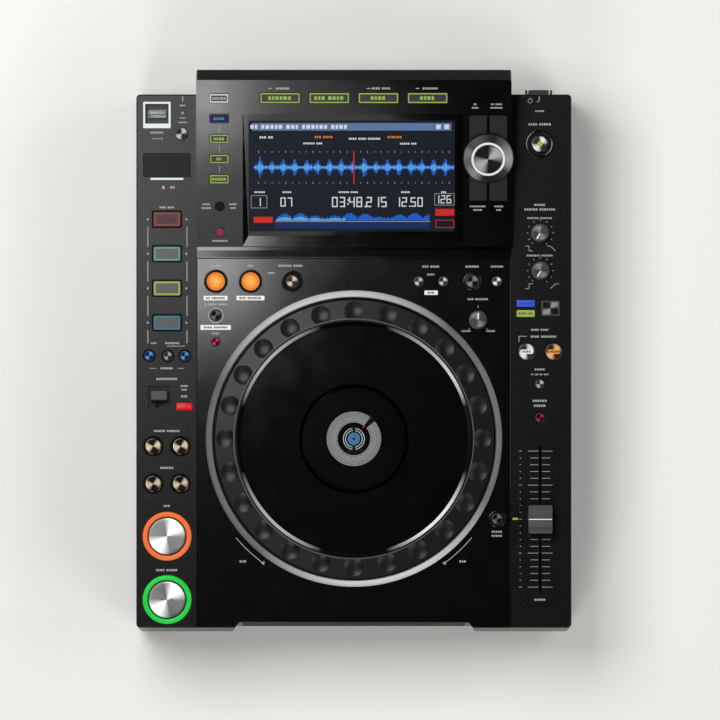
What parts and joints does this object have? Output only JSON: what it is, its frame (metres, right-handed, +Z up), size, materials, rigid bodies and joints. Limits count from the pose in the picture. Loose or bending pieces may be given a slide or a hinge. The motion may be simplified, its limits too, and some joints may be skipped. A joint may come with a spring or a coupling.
{
  "type": "tabletop dj cd player",
  "caption": "Tabletop DJ disc player with a leaning display, a dimpled jog wheel, lit play and cue buttons, hot cue keys, a tempo slider and a front disc slot.",
  "frame": {"origin": "centre of the footprint on the surface that the feet stand on", "axes": "+X to the user's right, +Y away from the user to the socket side, +Z up"},
  "size_m": [0.32, 0.4144, 0.1185],
  "materials": {
    "case_plastic": "fine textured dark grey plastic",
    "gloss_black": "polished black plastic",
    "panel_plastic": "satin black plastic",
    "screen": "cover glass over a lit colour display",
    "chassis_paint": "black powder coated sheet steel",
    "foot_rubber": "dull black rubber",
    "screw_zinc": "black zinc plated steel",
    "socket_parts": "moulded sockets with plated jacks",
    "board": "green circuit board with parts",
    "drive_steel": "plated sheet steel",
    "roller_rubber": "soft grey rubber",
    "trim_silver": "finely knurled silver",
    "wheel_black": "satin black plastic",
    "plate_black": "black anodised, bright bevel",
    "clear_window": "clear smoked window",
    "centre_display": "lit round display",
    "light_pipe": "lit translucent plastic",
    "port_metal": "plated shell",
    "key_dark": "dark key",
    "key_lit": "translucent key with a lit frame",
    "key_metal": "spun aluminium face",
    "key_chrome": "dark chrome",
    "key_orange": "lit orange dome",
    "knob_grey": "satin dark grey knob",
    "knob_dark": "knurled black knob with a brushed top"
  },
  "bodies": {
    "casing": {"upper_case": "case_plastic", "deck_plate": "gloss_black", "display_housing": "gloss_black", "display_screen": "screen", "front_panel": "panel_plastic", "bottom_chassis": "chassis_paint", "rear_sockets": "socket_parts", "rubber_feet": "foot_rubber", "case_screws": "screw_zinc", "disc_drive_frame": "drive_steel", "jog_trim_ring": "trim_silver", "jog_hub": "drive_steel", "jog_display": "centre_display", "light_pipes": "light_pipe", "usb_port": "port_metal", "circuit_boards": "board"},
    "jog_wheel": {"jog_wheel": "wheel_black", "jog_plate": "plate_black", "jog_window": "clear_window"},
    "disc_turntable": {"disc_turntable": "wheel_black"},
    "feed_roller": {"feed_roller": "roller_rubber"},
    "hot_cue_key_a": {"hot_cue_key_a": "key_lit"},
    "hot_cue_key_b": {"hot_cue_key_b": "key_lit"},
    "hot_cue_key_c": {"hot_cue_key_c": "key_lit"},
    "hot_cue_key_d": {"hot_cue_key_d": "key_lit"},
    "bank_keys": {"bank_keys": "key_dark"},
    "track_keys": {"track_keys": "key_chrome"},
    "search_keys": {"search_keys": "key_chrome"},
    "cue_button": {"cue_button": "key_metal"},
    "play_button": {"play_button": "key_metal"},
    "usb_stop_button": {"usb_stop_button": "key_dark"},
    "loop_in_button": {"loop_in_button": "key_orange"},
    "loop_out_button": {"loop_out_button": "key_orange"},
    "reloop_button": {"reloop_button": "key_dark"},
    "four_beat_button": {"four_beat_button": "key_dark"},
    "slip_button": {"slip_button": "key_dark"},
    "call_keys": {"call_keys": "key_dark"},
    "delete_button": {"delete_button": "key_dark"},
    "memory_button": {"memory_button": "key_dark"},
    "tempo_reset_button": {"tempo_reset_button": "key_dark"},
    "eject_button": {"eject_button": "key_chrome"},
    "jog_mode_key": {"jog_mode_key": "key_chrome"},
    "sync_button": {"sync_button": "key_metal"},
    "master_button": {"master_button": "key_metal"},
    "tempo_range_button": {"tempo_range_button": "key_metal"},
    "master_tempo_button": {"master_tempo_button": "key_dark"},
    "source_keys": {"source_keys": "key_lit"},
    "browse_keys": {"browse_keys": "key_lit"},
    "time_mode_button": {"time_mode_button": "key_dark"},
    "quantize_button": {"quantize_button": "key_dark"},
    "selector_keys": {"selector_keys": "key_dark"},
    "selector_shaft": {"selector_shaft": "key_metal"},
    "selector_knob": {"selector_knob": "knob_dark"},
    "touch_speed_knob": {"touch_speed_knob": "knob_grey"},
    "release_speed_knob": {"release_speed_knob": "knob_grey"},
    "jog_adjust_knob": {"jog_adjust_knob": "knob_grey"},
    "tempo_slider": {"tempo_slider": "knob_grey"},
    "direction_lever": {"direction_lever": "key_dark"},
    "card_door": {"card_door": "key_dark"},
    "power_switch": {"power_switch": "key_dark"}
  },
  "joints": [
    {"name": "jog_wheel_turn", "type": "hinge", "parent": "casing", "child": "jog_wheel", "pos_m": [0, -0.0631, 0.094], "axis": [0, 0, 1], "continuous": true},
    {"name": "tempo_slide", "type": "slide", "parent": "casing", "child": "tempo_slider", "axis": [0, 1, 0], "range_m": [-0.05, 0.05]},
    {"name": "card_door_swing", "type": "hinge", "parent": "casing", "child": "card_door", "pos_m": [-0.1375, 0.1448, 0.0869], "axis": [-1, 0, 0], "range_deg": [0, 95]},
    {"name": "direction_lever_tip", "type": "hinge", "parent": "casing", "child": "direction_lever", "pos_m": [-0.1431, -0.0342, 0.0785], "axis": [1, 0, 0], "range_deg": [0, 21]},
    {"name": "selector_turn", "type": "hinge", "parent": "selector_shaft", "child": "selector_knob", "pos_m": [0.0984, 0.14233, 0.1113], "axis": [0, -0.1935, 0.9811], "continuous": true},
    {"name": "selector_press", "type": "slide", "parent": "casing", "child": "selector_shaft", "axis": [0, 0.1935, -0.9811], "range_m": [0, 0.0008], "stiffness_N_per_m": 300, "springref_m": -0.002},
    {"name": "touch_speed_knob_turn", "type": "hinge", "parent": "casing", "child": "touch_speed_knob", "pos_m": [0.1369, 0.0881, 0.088], "axis": [0, 0, 1], "range_deg": [-300, 0]},
    {"name": "release_speed_knob_turn", "type": "hinge", "parent": "casing", "child": "release_speed_knob", "pos_m": [0.1373, 0.0604, 0.088], "axis": [0, 0, 1], "range_deg": [-300, 0]},
    {"name": "jog_adjust_turn", "type": "hinge", "parent": "casing", "child": "jog_adjust_knob", "pos_m": [0.0913, 0.0241, 0.088], "axis": [0, 0, 1], "range_deg": [-140, 140]},
    {"name": "power_switch_press", "type": "slide", "parent": "casing", "child": "power_switch", "axis": [0, -1, 0], "range_m": [0, 0.002], "stiffness_N_per_m": 200, "springref_m": -0.002},
    {"name": "cue_button_press", "type": "slide", "parent": "casing", "child": "cue_button", "axis": [0, 0, -1], "range_m": [0, 0.002], "stiffness_N_per_m": 300, "springref_m": -0.002},
    {"name": "play_button_press", "type": "slide", "parent": "casing", "child": "play_button", "axis": [0, 0, -1], "range_m": [0, 0.002], "stiffness_N_per_m": 300, "springref_m": -0.002},
    {"name": "hot_cue_key_a_press", "type": "slide", "parent": "casing", "child": "hot_cue_key_a", "axis": [0, 0, -1], "range_m": [0, 0.001], "stiffness_N_per_m": 200, "springref_m": -0.002},
    {"name": "source_keys_press", "type": "slide", "parent": "casing", "child": "source_keys", "axis": [0, 0.1935, -0.9811], "range_m": [0, 0.001], "stiffness_N_per_m": 200, "springref_m": -0.002},
    {"name": "browse_keys_press", "type": "slide", "parent": "casing", "child": "browse_keys", "axis": [0, 0.1935, -0.9811], "range_m": [0, 0.001], "stiffness_N_per_m": 200, "springref_m": -0.002},
    {"name": "selector_keys_press", "type": "slide", "parent": "casing", "child": "selector_keys", "axis": [0, 0.1935, -0.9811], "range_m": [0, 0.001], "stiffness_N_per_m": 200, "springref_m": -0.002},
    {"name": "track_keys_press", "type": "slide", "parent": "casing", "child": "track_keys", "axis": [0, 0, -1], "range_m": [0, 0.001], "stiffness_N_per_m": 200, "springref_m": -0.002},
    {"name": "search_keys_press", "type": "slide", "parent": "casing", "child": "search_keys", "axis": [0, 0, -1], "range_m": [0, 0.001], "stiffness_N_per_m": 200, "springref_m": -0.002},
    {"name": "bank_keys_press", "type": "slide", "parent": "casing", "child": "bank_keys", "axis": [0, 0, -1], "range_m": [0, 0.001], "stiffness_N_per_m": 200, "springref_m": -0.002},
    {"name": "eject_button_press", "type": "slide", "parent": "casing", "child": "eject_button", "axis": [0, 0, -1], "range_m": [0, 0.001], "stiffness_N_per_m": 200, "springref_m": -0.002},
    {"name": "jog_mode_key_press", "type": "slide", "parent": "casing", "child": "jog_mode_key", "axis": [0, 0, -1], "range_m": [0, 0.001], "stiffness_N_per_m": 200, "springref_m": -0.002},
    {"name": "sync_button_press", "type": "slide", "parent": "casing", "child": "sync_button", "axis": [0, 0, -1], "range_m": [0, 0.001], "stiffness_N_per_m": 200, "springref_m": -0.002},
    {"name": "loop_in_button_press", "type": "slide", "parent": "casing", "child": "loop_in_button", "axis": [0, 0, -1], "range_m": [0, 0.001], "stiffness_N_per_m": 200, "springref_m": -0.002},
    {"name": "reloop_button_press", "type": "slide", "parent": "casing", "child": "reloop_button", "axis": [0, 0, -1], "range_m": [0, 0.001], "stiffness_N_per_m": 200, "springref_m": -0.002},
    {"name": "disc_turntable_spin", "type": "hinge", "parent": "casing", "child": "disc_turntable", "pos_m": [0, -0.13, 0.053], "axis": [0, 0, 1], "continuous": true},
    {"name": "feed_roller_turn", "type": "hinge", "parent": "casing", "child": "feed_roller", "pos_m": [0, -0.181, 0.0519], "axis": [1, 0, 0], "continuous": true},
    {"name": "hot_cue_key_b_press", "type": "slide", "parent": "casing", "child": "hot_cue_key_b", "axis": [0, 0, -1], "range_m": [0, 0.001], "stiffness_N_per_m": 200, "springref_m": -0.002},
    {"name": "hot_cue_key_c_press", "type": "slide", "parent": "casing", "child": "hot_cue_key_c", "axis": [0, 0, -1], "range_m": [0, 0.001], "stiffness_N_per_m": 200, "springref_m": -0.002},
    {"name": "hot_cue_key_d_press", "type": "slide", "parent": "casing", "child": "hot_cue_key_d", "axis": [0, 0, -1], "range_m": [0, 0.001], "stiffness_N_per_m": 200, "springref_m": -0.002},
    {"name": "usb_stop_button_press", "type": "slide", "parent": "casing", "child": "usb_stop_button", "axis": [0, 0, -1], "range_m": [0, 0.001], "stiffness_N_per_m": 200, "springref_m": -0.002},
    {"name": "loop_out_button_press", "type": "slide", "parent": "casing", "child": "loop_out_button", "axis": [0, 0, -1], "range_m": [0, 0.001], "stiffness_N_per_m": 200, "springref_m": -0.002},
    {"name": "four_beat_button_press", "type": "slide", "parent": "casing", "child": "four_beat_button", "axis": [0, 0, -1], "range_m": [0, 0.001], "stiffness_N_per_m": 200, "springref_m": -0.002},
    {"name": "slip_button_press", "type": "slide", "parent": "casing", "child": "slip_button", "axis": [0, 0, -1], "range_m": [0, 0.001], "stiffness_N_per_m": 200, "springref_m": -0.002},
    {"name": "call_keys_press", "type": "slide", "parent": "casing", "child": "call_keys", "axis": [0, 0, -1], "range_m": [0, 0.001], "stiffness_N_per_m": 200, "springref_m": -0.002},
    {"name": "delete_button_press", "type": "slide", "parent": "casing", "child": "delete_button", "axis": [0, 0, -1], "range_m": [0, 0.001], "stiffness_N_per_m": 200, "springref_m": -0.002},
    {"name": "memory_button_press", "type": "slide", "parent": "casing", "child": "memory_button", "axis": [0, 0, -1], "range_m": [0, 0.001], "stiffness_N_per_m": 200, "springref_m": -0.002},
    {"name": "tempo_reset_button_press", "type": "slide", "parent": "casing", "child": "tempo_reset_button", "axis": [0, 0, -1], "range_m": [0, 0.001], "stiffness_N_per_m": 200, "springref_m": -0.002},
    {"name": "master_button_press", "type": "slide", "parent": "casing", "child": "master_button", "axis": [0, 0, -1], "range_m": [0, 0.001], "stiffness_N_per_m": 200, "springref_m": -0.002},
    {"name": "tempo_range_button_press", "type": "slide", "parent": "casing", "child": "tempo_range_button", "axis": [0, 0, -1], "range_m": [0, 0.001], "stiffness_N_per_m": 200, "springref_m": -0.002},
    {"name": "master_tempo_button_press", "type": "slide", "parent": "casing", "child": "master_tempo_button", "axis": [0, 0, -1], "range_m": [0, 0.001], "stiffness_N_per_m": 200, "springref_m": -0.002},
    {"name": "time_mode_button_press", "type": "slide", "parent": "casing", "child": "time_mode_button", "axis": [0, 0.1935, -0.9811], "range_m": [0, 0.001], "stiffness_N_per_m": 200, "springref_m": -0.002},
    {"name": "quantize_button_press", "type": "slide", "parent": "casing", "child": "quantize_button", "axis": [0, 0.1935, -0.9811], "range_m": [0, 0.001], "stiffness_N_per_m": 200, "springref_m": -0.002}
  ]
}
